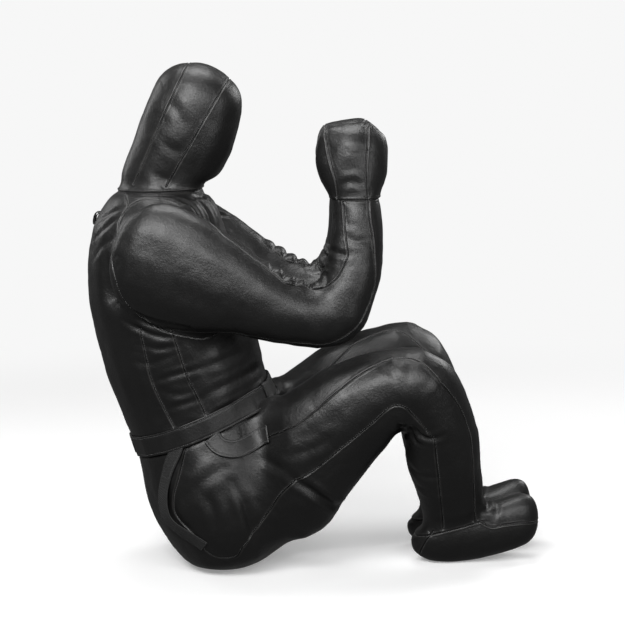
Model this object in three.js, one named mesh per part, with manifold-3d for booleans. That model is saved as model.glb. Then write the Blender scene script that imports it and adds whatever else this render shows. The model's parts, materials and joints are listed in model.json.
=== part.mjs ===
// A seated grappling dummy: leather covers filled with packed textile, sewn at the joints.
// Millimetres, +Z up. It faces +X and its right side is at -Y. The origin is on the floor,
// in the middle of the flat patch that it sits on.

import * as THREE from "three";
import { mergeVertices } from "three/addons/utils/BufferGeometryUtils.js";
import Module from "manifold-3d";

const wasm = await Module();
wasm.setup();

// ---- Driving dimensions -----------------------------------------------------------------

const LEATHER = 2.5; // wall of every cover
const SLIP = 0.5; // gap between a cover and what touches it
const CUT_GAP = 1; // gap between the two sides of a joint, at its axis
const STRAP = 3; // thickness of belt, handles and loops
const STRAP_GAP = 1.2; // gap under a strap, and between straps that cross
const FAR = 900; // larger than the object, for cutting blocks

// Stations along each form: centre x, y, z, then the half size across the form in the plane
// of the body's profile (deep) and the half size across the body (wide). Right side.
const TRUNK = [
  { at: [0, 0, 60], deep: 124, wide: 164 },
  { at: [-14, 0, 130], deep: 149, wide: 182 },
  { at: [-32, 0, 215], deep: 149, wide: 172 },
  { at: [-57, 0, 290], deep: 139, wide: 150 },
  { at: [-88, 0, 400], deep: 150, wide: 157 },
  { at: [-113, 0, 520], deep: 151, wide: 166 },
  { at: [-126, 0, 620], deep: 137, wide: 158 },
  { at: [-120, 0, 690], deep: 110, wide: 128 },
];
const HEAD = [
  { at: [-117, 0, 728], deep: 84, wide: 74 },
  { at: [-98, 0, 772], deep: 86, wide: 78 },
  { at: [-66, 0, 835], deep: 92, wide: 83 },
  { at: [-42, 0, 902], deep: 86, wide: 78 },
];
const UPPER_ARM = [
  { at: [-125, -160, 615], deep: 110, wide: 56 },
  { at: [-39, -166, 578], deep: 104, wide: 58 },
  { at: [50, -165, 541], deep: 73, wide: 56 },
  { at: [141, -158, 502], deep: 60, wide: 54 },
  { at: [208, -152, 508], deep: 60, wide: 53 },
];
const FOREARM = [
  { at: [208, -152, 508], deep: 60, wide: 53 },
  { at: [240, -140, 575], deep: 52, wide: 50 },
  { at: [250, -126, 645], deep: 50, wide: 47 },
  { at: [248, -112, 712], deep: 46, wide: 44 },
];
const FIST = [
  { at: [248, -112, 712], deep: 46, wide: 44 },
  { at: [245, -101, 765], deep: 67, wide: 50 },
  { at: [252, -95, 808], deep: 58, wide: 47 },
];
const THIGH = [
  { at: [95, -95, 170], deep: 121, wide: 86 },
  { at: [168, -108, 256], deep: 109, wide: 86 },
  { at: [250, -122, 327], deep: 93, wide: 81 },
  { at: [350, -138, 363], deep: 79, wide: 74 },
];
const SHIN = [
  { at: [350, -138, 363], deep: 79, wide: 74 },
  { at: [391, -122, 296], deep: 73, wide: 67 },
  { at: [408, -100, 207], deep: 70, wide: 61 },
  { at: [421, -76, 146], deep: 63, wide: 53 },
  { at: [428, -60, 92], deep: 60, wide: 48 },
];
const FOOT = [
  { at: [403, -54, 60], deep: 66, wide: 46 },
  { at: [470, -52, 64], deep: 62, wide: 46 },
  { at: [545, -52, 72], deep: 50, wide: 44 },
];

// How far each form's rounded ends run past its first and last station.
const ROUNDING = {
  trunk: [66, 50],
  head: [60, 65],
  upperArm: [80, 60],
  forearm: [60, 30],
  fist: [30, 43],
  thigh: [100, 79],
  shin: [79, 40],
  foot: [62, 47],
};

// Joint axes run along Y through these points. The cut between the two bodies passes through
// the axis; lean is its angle from the horizontal, in degrees, rising towards +X. open is how
// far the child may turn each way before the faces of the cut meet.
const WAIST = { at: [-64, 0, 309], lean: 21.5, open: 9 };
const NECK = { at: [-117, 0, 727], lean: 0, open: 13 };
const ELBOW = { at: [208, -152, 508], lean: -55, open: 13 };
const WRIST = { at: [248, -112, 712], lean: 0, open: 13 };
const HIP = { at: [95, -95, 170], lean: 97, open: 9 };
const KNEE = { at: [350, -138, 363], lean: 68, open: 13 };
const ANKLE = { at: [426, -58, 96], lean: 17, open: 11 };

const ARMHOLE = 108; // half width of the chest between the armholes
const UNDERARM = { height: 450, fall: 20 }; // underarm height at x = 0, and its fall towards +X in degrees

const BELT_WIDTH = 40;
const WEBBING = 26; // width of the nylon straps and loops
const HANDLE_WIDTH = 34; // width of the leather hip handles

// Where the straps run on the right side, seen from that side: x and z.
const HIP_HANDLE = [[-30, 279], [-14, 262], [12, 255], [42, 262], [76, 279]];
const SEAT_HANDLE = [[-97, 254], [-113, 215], [-122, 170], [-112, 125], [-84, 96], [-48, 70]];
const FRONT_LOOP = { x: 58, y: 58, z: 324 };
const REAR_LOOP = { x: -183, y: 0, z: 240 };
const LOOP_REACH = 24; // half the height of a belt loop
const BACK_TAB = { x: -243, z: 676, length: 26, slot: 2, lean: 22 };

// ---- Materials --------------------------------------------------------------------------

const leather = new THREE.MeshStandardMaterial({ color: 0x1b1b1c, roughness: 0.42, metalness: 0 });
const belting = new THREE.MeshStandardMaterial({ color: 0x191919, roughness: 0.46, metalness: 0 });
const nylon = new THREE.MeshStandardMaterial({ color: 0x161616, roughness: 0.8, metalness: 0 });
const textile = new THREE.MeshStandardMaterial({ color: 0x8a8780, roughness: 0.95, metalness: 0 });

// ---- Solids -----------------------------------------------------------------------------

function solidFrom(geometry) {
  const bare = geometry.clone();
  bare.deleteAttribute("normal");
  bare.deleteAttribute("uv");
  const merged = mergeVertices(bare, 1e-3);
  return new wasm.Manifold(
    new wasm.Mesh({
      numProp: 3,
      vertProperties: merged.attributes.position.array,
      triVerts: new Uint32Array(merged.index.array),
    }),
  );
}

function geometryFrom(solid) {
  const mesh = solid.getMesh();
  const geometry = new THREE.BufferGeometry();
  geometry.setAttribute("position", new THREE.BufferAttribute(mesh.vertProperties, 3));
  geometry.setIndex(new THREE.BufferAttribute(mesh.triVerts, 1));
  geometry.computeVertexNormals();
  return geometry;
}

// A stuffed form: a sphere's net stretched along a smooth spine. The net's middle rows lie on
// the stations and its first and last rows make the rounded ends. grow moves the skin outwards.
function form(stations, rounding, grow, sides, bodyRows, endRows = 3) {
  const spine = new THREE.CatmullRomCurve3(
    stations.map((s) => new THREE.Vector3(...s.at)),
    false,
    "catmullrom",
    0.5,
  );
  const girth = new THREE.CatmullRomCurve3(
    stations.map((s) => new THREE.Vector3(s.deep, s.wide, 0)),
    false,
    "catmullrom",
    0.5,
  );
  const rows = bodyRows + 2 * endRows;
  const net = new THREE.SphereGeometry(1, sides, rows);
  const position = net.attributes.position;
  const across = new THREE.Vector3(0, 1, 0);
  for (let i = 0; i < position.count; i++) {
    const row = Math.floor(i / (sides + 1));
    const turn = ((i % (sides + 1)) / sides) * 2 * Math.PI;
    let t = (row - endRows) / bodyRows;
    let past = 0;
    let share = 1;
    if (row < endRows) {
      const angle = (row / endRows) * (Math.PI / 2);
      t = 0;
      past = -(rounding[0] + grow) * Math.cos(angle);
      share = Math.sin(angle);
    } else if (row > rows - endRows) {
      const angle = ((rows - row) / endRows) * (Math.PI / 2);
      t = 1;
      past = (rounding[1] + grow) * Math.cos(angle);
      share = row === rows ? 0 : Math.sin(angle);
    }
    const along = spine.getTangent(t);
    const side = across.clone().addScaledVector(along, -across.dot(along)).normalize();
    const front = new THREE.Vector3().crossVectors(side, along);
    const size = girth.getPoint(t);
    const point = spine
      .getPoint(t)
      .addScaledVector(along, past)
      .addScaledVector(front, Math.cos(turn) * (size.x + grow) * share)
      .addScaledVector(side, Math.sin(turn) * (size.y + grow) * share);
    position.setXYZ(i, point.x, point.y, point.z);
  }
  const solid = solidFrom(net);
  return solid.volume() > 0 ? solid : solidFrom(flipped(net));
}

function flipped(geometry) {
  const copy = geometry.clone();
  const index = copy.index.array;
  for (let i = 0; i < index.length; i += 3) {
    [index[i + 1], index[i + 2]] = [index[i + 2], index[i + 1]];
  }
  return copy;
}

// A block that fills the space on one side of a plane through a joint's axis. The plane's
// trace rises at lean degrees; side is +1 for the space above or behind it, -1 for the rest.
function halfSpace(joint, lean, side, gap) {
  const block = new THREE.BoxGeometry(2 * FAR, 2 * FAR, FAR);
  block.translate(0, 0, side * (FAR / 2 + gap));
  block.rotateY(-THREE.MathUtils.degToRad(lean));
  block.translate(...joint.at);
  return solidFrom(block);
}

// side says on which side of the cut the parent lies.
function keepParent(solid, joint, side) {
  return solid.subtract(halfSpace(joint, joint.lean, -side, -CUT_GAP / 2));
}

function keepChild(solid, joint, side) {
  const under = halfSpace(joint, joint.lean - joint.open, side, -CUT_GAP / 2);
  const over = halfSpace(joint, joint.lean + joint.open, side, -CUT_GAP / 2);
  return solid.subtract(under).subtract(over);
}

function floorBelow(height) {
  const block = new THREE.BoxGeometry(2 * FAR, 2 * FAR, FAR);
  block.translate(0, 0, height - FAR / 2);
  return solidFrom(block);
}

// One cover and its filling. shape(grow) makes the outer form grown by that much, and trim
// cuts it at its joints.
function stuffedPiece(shape, trim, floor = false) {
  const atFloor = (solid, height) => (floor ? solid.subtract(floorBelow(height)) : solid);
  const outside = atFloor(shape(0), 0);
  const inside = atFloor(shape(-LEATHER), LEATHER);
  const filling = atFloor(shape(-LEATHER - SLIP), LEATHER + SLIP);
  return { cover: trim(outside.subtract(inside)), filling: trim(filling) };
}

// ---- The pieces of the right side and the middle ------------------------------------------

const trunkForm = (grow) => form(TRUNK, ROUNDING.trunk, grow, 18, 12);

function pelvis() {
  const trim = (solid) => keepParent(keepParent(solid, WAIST, -1), HIP, 1);
  return stuffedPiece(trunkForm, trim, true);
}

// Everything outside the armhole plane and above the sloping underarm.
function armholeBlock(mirror) {
  const block = new THREE.BoxGeometry(2 * FAR, FAR, FAR);
  block.translate(0, mirror * (ARMHOLE + FAR / 2), FAR / 2);
  block.rotateY(THREE.MathUtils.degToRad(UNDERARM.fall));
  block.translate(0, 0, UNDERARM.height);
  return solidFrom(block);
}

function torso() {
  const trim = (solid) =>
    keepParent(keepChild(solid, WAIST, -1), NECK, -1)
      .subtract(armholeBlock(1))
      .subtract(armholeBlock(-1));
  return stuffedPiece(trunkForm, trim);
}

function head() {
  const shape = (grow) => form(HEAD, ROUNDING.head, grow, 14, 6, 4);
  return stuffedPiece(shape, (solid) => keepChild(solid, NECK, -1));
}

function upperArm() {
  const shape = (grow) => form(UPPER_ARM, ROUNDING.upperArm, grow, 12, 6);
  const inboard = new THREE.BoxGeometry(2 * FAR, FAR, 2 * FAR);
  inboard.translate(0, -ARMHOLE - CUT_GAP + FAR / 2, 0);
  const chest = solidFrom(inboard);
  return stuffedPiece(shape, (solid) => keepParent(solid, ELBOW, -1).subtract(chest));
}

function forearm() {
  const shape = (grow) => form(FOREARM, ROUNDING.forearm, grow, 12, 5);
  return stuffedPiece(shape, (solid) => keepParent(keepChild(solid, ELBOW, -1), WRIST, -1));
}

function fist() {
  const shape = (grow) => form(FIST, ROUNDING.fist, grow, 12, 5);
  return stuffedPiece(shape, (solid) => keepChild(solid, WRIST, -1));
}

function thigh() {
  const shape = (grow) => form(THIGH, ROUNDING.thigh, grow, 12, 5);
  return stuffedPiece(shape, (solid) => keepParent(keepChild(solid, HIP, 1), KNEE, 1));
}

function shin() {
  const shape = (grow) => form(SHIN, ROUNDING.shin, grow, 12, 6);
  return stuffedPiece(shape, (solid) => keepParent(keepChild(solid, KNEE, 1), ANKLE, 1));
}

function foot() {
  const shape = (grow) => form(FOOT, ROUNDING.foot, grow, 12, 5);
  return stuffedPiece(shape, (solid) => keepChild(solid, ANKLE, 1), true);
}

// ---- Belt, handles and loops --------------------------------------------------------------

// The layer that lies on the trunk, from its skin out: under is the gap or the straps beneath.
function layer(under) {
  return trunkForm(under + STRAP).subtract(trunkForm(under));
}

// The part of a solid on the right of the middle plane.
function rightOf(solid, margin) {
  const block = new THREE.BoxGeometry(2 * FAR, FAR, 2 * FAR);
  block.translate(0, FAR / 2 - margin, 0);
  return solid.subtract(solidFrom(block));
}

// A flat strap's outline along a smooth line, extruded across the body.
function ribbon(route, width) {
  const line = new THREE.SplineCurve(route.map(([x, z]) => new THREE.Vector2(x, z)));
  const steps = 3 * (route.length - 1);
  const edge = (side) =>
    Array.from({ length: steps + 1 }, (_, i) => {
      const along = line.getTangent(i / steps);
      const offset = new THREE.Vector2(-along.y, along.x).multiplyScalar((side * width) / 2);
      return line.getPoint(i / steps).add(offset);
    });
  const shape = new THREE.Shape([...edge(1), ...edge(-1).reverse()]);
  const plate = new THREE.ExtrudeGeometry(shape, { depth: 2 * FAR, bevelEnabled: false, steps: 1 });
  plate.translate(0, 0, -FAR);
  plate.rotateX(Math.PI / 2);
  return solidFrom(plate);
}

function waistBelt() {
  const lower = { at: [...WAIST.at] };
  const tilt = THREE.MathUtils.degToRad(WAIST.lean);
  lower.at[0] += BELT_WIDTH * Math.sin(tilt);
  lower.at[2] -= BELT_WIDTH * Math.cos(tilt);
  return keepParent(layer(STRAP_GAP), WAIST, -1).subtract(halfSpace(lower, WAIST.lean, -1, 0));
}

// A webbing band over the belt, standing upright: at is its middle and reach its half height.
function beltLoop(at, reach, mirror) {
  const block = new THREE.BoxGeometry(60, WEBBING, 2 * reach);
  block.rotateY(-THREE.MathUtils.degToRad(WAIST.lean));
  block.translate(at.x, mirror * at.y, at.z);
  return keepParent(layer(2 * STRAP_GAP + STRAP).intersect(solidFrom(block)), WAIST, -1);
}

function hipHandle() {
  const strap = rightOf(layer(STRAP_GAP), 100).intersect(ribbon(HIP_HANDLE, HANDLE_WIDTH));
  return strap.subtract(trimForBelt());
}

function seatHandle() {
  const strap = rightOf(layer(STRAP_GAP), 10).intersect(ribbon(SEAT_HANDLE, WEBBING));
  return strap.subtract(trimForBelt());
}

// What the belt and everything above it takes up, with a gap under the belt's lower edge.
function trimForBelt() {
  const tilt = THREE.MathUtils.degToRad(WAIST.lean);
  const edge = BELT_WIDTH + STRAP_GAP;
  const below = { at: [WAIST.at[0] + edge * Math.sin(tilt), 0, WAIST.at[2] - edge * Math.cos(tilt)] };
  return halfSpace(below, WAIST.lean, 1, 0);
}

// A tab of folded webbing that hangs on the upper back, with a slot between its two layers.
function backTab() {
  const { length, slot, lean, x, z } = BACK_TAB;
  const half = STRAP + slot / 2;
  const fold = length / 2 - half;
  const outer = new THREE.Shape();
  outer.moveTo(half, fold + half);
  outer.lineTo(-half, fold + half);
  outer.lineTo(-half, -fold);
  outer.absarc(0, -fold, half, Math.PI, 2 * Math.PI);
  const inner = new THREE.Path();
  inner.moveTo(slot / 2, fold);
  inner.lineTo(-slot / 2, fold);
  inner.lineTo(-slot / 2, -fold);
  inner.absarc(0, -fold, slot / 2, Math.PI, 2 * Math.PI);
  outer.holes.push(inner);
  const tab = new THREE.ExtrudeGeometry(outer, {
    depth: WEBBING,
    bevelEnabled: false,
    curveSegments: 6,
    steps: 1,
  });
  tab.translate(0, 0, -WEBBING / 2);
  tab.rotateX(Math.PI / 2);
  tab.rotateY(THREE.MathUtils.degToRad(lean));
  tab.translate(x, 0, z);
  return solidFrom(tab).subtract(trunkForm(STRAP_GAP));
}

const group = new THREE.Group();

function add(name, solid, material) {
  const mesh = new THREE.Mesh(geometryFrom(solid), material);
  mesh.name = name;
  group.add(mesh);
}

function addMiddle(name, { cover, filling }) {
  add(`${name}_cover`, cover, leather);
  add(`${name}_stuffing`, filling, textile);
}

function addPair(name, { cover, filling }) {
  add(`${name}_cover_right`, cover, leather);
  add(`${name}_stuffing_right`, filling, textile);
  add(`${name}_cover_left`, cover.mirror([0, 1, 0]), leather);
  add(`${name}_stuffing_left`, filling.mirror([0, 1, 0]), textile);
}

addMiddle("head", head());
addMiddle("torso", torso());
addMiddle("pelvis", pelvis());
addPair("upper_arm", upperArm());
addPair("forearm", forearm());
addPair("fist", fist());
addPair("thigh", thigh());
addPair("shin", shin());
addPair("foot", foot());

add("waist_belt", waistBelt(), belting);
add("belt_loop_rear", beltLoop(REAR_LOOP, LOOP_REACH, 1), nylon);
add("belt_loop_front_right", beltLoop(FRONT_LOOP, LOOP_REACH, -1), nylon);
add("belt_loop_front_left", beltLoop(FRONT_LOOP, LOOP_REACH, 1), nylon);
add("hip_handle_right", hipHandle(), belting);
add("hip_handle_left", hipHandle().mirror([0, 1, 0]), belting);
add("seat_handle_right", seatHandle(), nylon);
add("seat_handle_left", seatHandle().mirror([0, 1, 0]), nylon);
add("back_tab", backTab(), nylon);

export default group;
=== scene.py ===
"""A seated grappling dummy, sewn from black leather and packed with textile.

The CAD model gives the covers, joints, belt, loops and back tab. Most of the seams' lines,
the folds and the handles' routes are typed in millimetres. The skin starts as one surface
around the CAD covers, gets its seams, folds and puckers as geometry, and is then parted into
pieces; the pelvis piece rides the pelvis, and the others stay where they are built. Metres,
+Z up. The dummy faces +X and its right side is at -Y.
"""

import itertools
import json
import math

import bmesh
import bpy
import numpy as np
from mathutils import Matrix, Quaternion, Vector
from mathutils.bvhtree import BVHTree
from mathutils.kdtree import KDTree

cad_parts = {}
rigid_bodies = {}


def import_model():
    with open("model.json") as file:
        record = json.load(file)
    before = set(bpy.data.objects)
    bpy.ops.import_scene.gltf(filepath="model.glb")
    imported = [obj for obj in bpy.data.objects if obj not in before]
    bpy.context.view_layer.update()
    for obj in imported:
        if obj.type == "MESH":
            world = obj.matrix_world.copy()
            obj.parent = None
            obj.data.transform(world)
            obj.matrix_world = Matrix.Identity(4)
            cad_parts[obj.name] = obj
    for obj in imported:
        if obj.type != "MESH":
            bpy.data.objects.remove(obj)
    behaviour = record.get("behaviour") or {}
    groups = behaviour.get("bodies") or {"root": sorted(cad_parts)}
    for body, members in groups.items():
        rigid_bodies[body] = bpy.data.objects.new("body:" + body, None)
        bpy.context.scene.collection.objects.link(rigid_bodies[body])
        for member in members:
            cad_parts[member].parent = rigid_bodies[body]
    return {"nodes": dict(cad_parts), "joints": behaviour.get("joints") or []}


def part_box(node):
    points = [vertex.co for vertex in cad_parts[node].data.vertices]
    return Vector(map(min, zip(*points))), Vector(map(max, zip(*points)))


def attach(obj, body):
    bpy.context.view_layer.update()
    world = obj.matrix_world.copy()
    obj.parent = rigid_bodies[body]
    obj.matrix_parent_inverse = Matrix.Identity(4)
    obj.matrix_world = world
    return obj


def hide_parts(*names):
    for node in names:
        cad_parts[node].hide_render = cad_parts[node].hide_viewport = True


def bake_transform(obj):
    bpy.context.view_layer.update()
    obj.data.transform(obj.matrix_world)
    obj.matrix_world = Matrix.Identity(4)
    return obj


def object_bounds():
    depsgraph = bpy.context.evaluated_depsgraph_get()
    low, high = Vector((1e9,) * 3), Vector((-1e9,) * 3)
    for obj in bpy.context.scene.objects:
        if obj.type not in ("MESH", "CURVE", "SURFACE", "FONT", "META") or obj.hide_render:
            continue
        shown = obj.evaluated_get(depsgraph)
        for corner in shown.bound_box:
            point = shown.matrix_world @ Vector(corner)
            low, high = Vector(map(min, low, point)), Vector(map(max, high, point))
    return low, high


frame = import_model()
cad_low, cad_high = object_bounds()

MM = 0.001
MIRROR = np.array((1, -1, 1))  # takes a point of one side of the dummy to the other


def placed(name, data):
    """A new object for the data, linked into the scene."""
    made = bpy.data.objects.new(name, data)
    bpy.context.scene.collection.objects.link(made)
    return made


# ---- Camera, light and floor ------------------------------------------------------------

CAMERA_DISTANCE = 3.2
CAMERA_ELEVATION = math.radians(9.0)
CAMERA_ROLL = math.radians(1.3)
CAMERA_LENS = 95.5
SENSOR = 36.0
BACKDROP_RADIUS = 14.0
BACKDROP_WHITE = 0.93
FLOOR_SHADE = 0.8
FLOOR_GLOW = 0.25
FLOOR_FADE = (0.9, 2.6)  # metres from the middle of the floor
WORLD_LIGHT = 0.11
LAMP_AIM = (0.15, 0, 0.45)
LAMPS = {  # place, size (width, height) and power
    "key_light": ((-0.9, -2.0, 2.3), (1.6, 1.2), 70),
    "front_light": ((0.7, -2.7, 2.0), (2.0, 0.9), 34),
    "fill_light": ((1.9, -2.0, 1.0), (0.8, 1.2), 10),
    "top_light": ((0.1, 0.3, 2.6), (1.4, 1.0), 30),
    "rim_light": ((-1.8, 1.2, 1.6), (0.7, 1.4), 9),
    "back_light": ((2.0, 1.8, 1.8), (1.0, 1.0), 20),
}


def make_camera():
    """The camera looks along +Y at the middle of the CAD box, a little from above."""
    data = bpy.data.cameras.new("camera")
    data.sensor_width = SENSOR
    data.lens = CAMERA_LENS
    data.clip_end = 50
    camera = placed("camera", data)
    back = Vector((0, -math.cos(CAMERA_ELEVATION), math.sin(CAMERA_ELEVATION)))
    camera.location = (cad_low + cad_high) / 2 + back * CAMERA_DISTANCE
    level = (-back).to_track_quat("-Z", "Y")
    camera.rotation_mode = "QUATERNION"
    camera.rotation_quaternion = level @ Quaternion((0, 0, 1), -CAMERA_ROLL)
    bpy.context.scene.camera = camera


def area_light(name, place, size, power):
    """A soft box of size (width, height) at place, turned to the dummy."""
    data = bpy.data.lights.new(name, "AREA")
    data.shape = "RECTANGLE"
    data.size, data.size_y = size
    data.energy = power
    light = placed(name, data)
    light.location = place
    light.rotation_mode = "QUATERNION"
    light.rotation_quaternion = (Vector(LAMP_AIM) - Vector(place)).to_track_quat("-Z", "Y")


def backdrop_shader(name):
    """A new material that shows an even paper white and reflects nothing."""
    material = bpy.data.materials.new(name)
    material.use_nodes = True
    shader = material.node_tree.nodes["Principled BSDF"]
    shader.inputs["Specular IOR Level"].default_value = 0
    shader.inputs["Roughness"].default_value = 0.9
    shader.inputs["Emission Color"].default_value = (1, 1, 1, 1)
    return material, shader


def stand(name, net, material):
    """A stage piece from net, which the leather doesn't mirror and which sends it no light."""
    data = bpy.data.meshes.new(name)
    net.to_mesh(data)
    net.free()
    data.polygons.foreach_set("use_smooth", [True] * len(data.polygons))
    data.materials.append(material)
    made = placed(name, data)
    made.visible_diffuse = False
    made.visible_glossy = False
    return made


def make_floor():
    """A pale floor, lit by the lamps near the object and as white as the backdrop far out."""
    material, shader = backdrop_shader("studio_paper")
    tree = material.node_tree
    place = tree.nodes.new("ShaderNodeTexCoord").outputs["Object"]
    length = tree.nodes.new("ShaderNodeVectorMath")
    length.operation = "LENGTH"
    tree.links.new(length.inputs[0], place)
    for socket, near, far in (
        ("Base Color", FLOOR_SHADE, 0.0),
        ("Emission Strength", FLOOR_GLOW, BACKDROP_WHITE),
    ):
        ramp = tree.nodes.new("ShaderNodeMapRange")
        ramp.interpolation_type = "SMOOTHERSTEP"
        ramp.inputs["From Min"].default_value = FLOOR_FADE[0]
        ramp.inputs["From Max"].default_value = FLOOR_FADE[1]
        ramp.inputs["To Min"].default_value = near
        ramp.inputs["To Max"].default_value = far
        tree.links.new(ramp.inputs["Value"], length.outputs["Value"])
        tree.links.new(shader.inputs[socket], ramp.outputs["Result"])
    net = bmesh.new()
    bmesh.ops.create_grid(net, x_segments=8, y_segments=8, size=BACKDROP_RADIUS)
    stand("floor", net, material)


def make_backdrop():
    """A white dome all round."""
    material, shader = backdrop_shader("backdrop_paper")
    shader.inputs["Base Color"].default_value = (0, 0, 0, 1)
    shader.inputs["Emission Strength"].default_value = BACKDROP_WHITE
    net = bmesh.new()
    bmesh.ops.create_uvsphere(net, u_segments=48, v_segments=24, radius=BACKDROP_RADIUS)
    stand("backdrop", net, material).visible_shadow = False


def make_studio():
    """A dim grey world, and soft boxes in front, above and behind."""
    world = bpy.data.worlds.new("studio")
    world.use_nodes = True
    world.node_tree.nodes["Background"].inputs["Color"].default_value = (1, 1, 1, 1)
    world.node_tree.nodes["Background"].inputs["Strength"].default_value = WORLD_LIGHT
    bpy.context.scene.world = world
    bpy.context.scene.view_settings.view_transform = "Standard"
    for name, lamp in LAMPS.items():
        area_light(name, *lamp)
    make_floor()
    make_backdrop()


# ---- Mesh tools -------------------------------------------------------------------------


def coordinates(mesh):
    values = np.empty(len(mesh.vertices) * 3)
    mesh.vertices.foreach_get("co", values)
    return values.reshape(-1, 3)


def set_coordinates(mesh, points):
    mesh.vertices.foreach_set("co", points.ravel())
    mesh.update()


def normals_of(mesh):
    values = np.empty(len(mesh.vertices) * 3)
    mesh.vertex_normals.foreach_get("vector", values)
    return values.reshape(-1, 3)


def applied(mesh, kind, **settings):
    """The mesh that one modifier makes of this mesh."""
    holder = placed("work", mesh)
    modifier = holder.modifiers.new("work", kind)
    for name, value in settings.items():
        setattr(modifier, name, value)
    graph = bpy.context.evaluated_depsgraph_get()
    result = bpy.data.meshes.new_from_object(holder.evaluated_get(graph))
    bpy.data.objects.remove(holder)
    return result


def surface_tree(mesh):
    """A search tree of the mesh's surface."""
    faces = [p.vertices[:] for p in mesh.polygons]
    return BVHTree.FromPolygons(coordinates(mesh).tolist(), faces)


def bell(distance, width):
    """1 at distance 0, falling smoothly to 0 beyond the width."""
    return np.exp(-((distance / width) ** 2))


def eased(share):
    """A share from 0 to 1 with a gentle start and end."""
    return share * share * (3 - 2 * share)


def direction(degrees):
    """A direction in the side view, turned up from +X."""
    a = math.radians(degrees)
    return np.array((math.cos(a), 0, math.sin(a)))


def grown(mesh, distance):
    """Every point moved out along its normal."""
    set_coordinates(mesh, coordinates(mesh) + distance * normals_of(mesh))
    return mesh


# ---- The bare skin ----------------------------------------------------------------------

CLOSE = 10 * MM  # radius that fills the joint gaps and rounds the hollow corners
GRID = 6 * MM
SMOOTHING_ROUNDS = 26
REGROWTH = 1.0 * MM  # how far the skin is moved out again once it is smoothed
JOINT_REACH = 26 * MM  # how far from a joint its two bodies' ends are joined
FILLED_JOINTS = ("waist_bend", "hip_bend_right")

# Pulls on the right side's skin: place, how far it moves, and the reach, in millimetres.
# A place with no y pulls all of the skin that lies there in the side view.
TUGS = [
    ((334, None, 266), (3, 0, 26), 27),  # the pit behind the knee
    ((194, -100, 826), (-11, 0, 14), 27),  # the fist's top corners
    ((183, -100, 785), (-6, 0, 0), 26),
    ((272, -100, 850), (2, 0, 5), 17),
    ((306, -100, 824), (3, 0, 4), 22),
    ((240, -150, 815), (0, -5, 3), 30),  # the fist's flat sides
    ((240, -53, 815), (0, 5, 3), 30),
    ((562, -55, 100), (5, 0, 19), 38),  # the toe box
    ((515, -55, 112), (0, 0, 7), 34),
    ((350, -56, 12), (-9, 0, 0), 32),  # the heel
]

# Where hollows are filled: place and reach in millimetres, and how much humps are lowered.
FILLS = [
    ((-174, -101, 707), 32, 0.1),  # behind and over the shoulder
    ((-193, -112, 680), 42, 0.1),
    ((-203, -140, 645), 48, 0.1),
    ((-196, -185, 592), 48, 0.1),
    ((-188, -187, 560), 40, 0.1),
    ((-26, -140, 470), 42, 0.1),  # the armpit
    ((10, -120, 500), 40, 0.1),
    ((72, -125, 300), 46, 0.7),  # where the leg leaves the hip
    ((76, -155, 245), 58, 0.7),
    ((80, -165, 185), 62, 0.7),
    ((90, -150, 115), 62, 0.7),
    ((90, -100, 60), 50, 0.7),
    ((384, -100, 428), 55, 0.7),  # over the knee
]
FILL_ROUNDS = 90

# The way across each joint's opening, in degrees up from +X in the side view.
JOINT_WAYS = {
    "waist_bend": 111.5,
    "neck_nod": 90,
    "elbow_bend_right": 35,
    "wrist_bend_right": 90,
    "hip_bend_right": 7,
    "knee_bend_right": -22,
    "ankle_bend_right": -73,
}


def joint_filler(net, name, way):
    """Adds the hull of both bodies' ends to net, where a joint's opening parts them."""
    hinge = next(j for j in frame["joints"] if j["name"] == name)
    ends = []
    for body in (hinge["parent"], hinge["child"]):
        cover = named(body.removesuffix("_right"), "cover", "right")
        points = coordinates(frame["nodes"][cover].data)
        ends.append(points[np.abs((points - hinge["pos_m"]) @ way) < JOINT_REACH])
    added = [net.verts.new(p) for p in np.vstack(ends)]
    hull = bmesh.ops.convex_hull(net, input=added)
    inside = set(hull["geom_interior"]) | set(hull["geom_unused"])
    bmesh.ops.delete(net, geom=[v for v in inside if isinstance(v, bmesh.types.BMVert)])


def tug(mesh):
    """Pulls the mesh at the places in TUGS."""
    points = coordinates(mesh)
    moved = points.copy()
    for place, move, reach in TUGS:
        away = np.stack([points[:, i] - c * MM for i, c in enumerate(place) if c is not None])
        distance = np.linalg.norm(away, axis=0)
        moved += bell(distance, reach * MM)[:, None] * np.array(move) * MM
    set_coordinates(mesh, moved)


def fill(mesh):
    """Draws the hollows near the places in FILLS out smooth."""
    ends = np.empty(len(mesh.edges) * 2, int)
    mesh.edges.foreach_get("vertices", ends)
    first, second = ends.reshape(-1, 2).T
    points = coordinates(mesh)
    count = len(points)
    joined = np.bincount(first, minlength=count) + np.bincount(second, minlength=count)
    raised, lowered = np.zeros(count), np.zeros(count)
    for place, reach, lowering in FILLS:
        distance = np.linalg.norm(points - np.array(place) * MM, axis=1)
        share = np.clip(1.6 - 1.6 * distance / (reach * MM), 0, 1)
        raised = np.maximum(raised, 0.7 * share)
        lowered = np.maximum(lowered, lowering * share)
    for _ in range(FILL_ROUNDS):
        drawn = np.empty_like(points)
        for axis in range(3):
            total = np.bincount(first, points[second, axis], count)
            total += np.bincount(second, points[first, axis], count)
            drawn[:, axis] = total / joined
        shift = drawn - points
        outward = np.einsum("ij,ij->i", shift, normals_of(mesh)) > 0
        points += shift * np.where(outward, raised, lowered)[:, None]
        set_coordinates(mesh, points)


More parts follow.
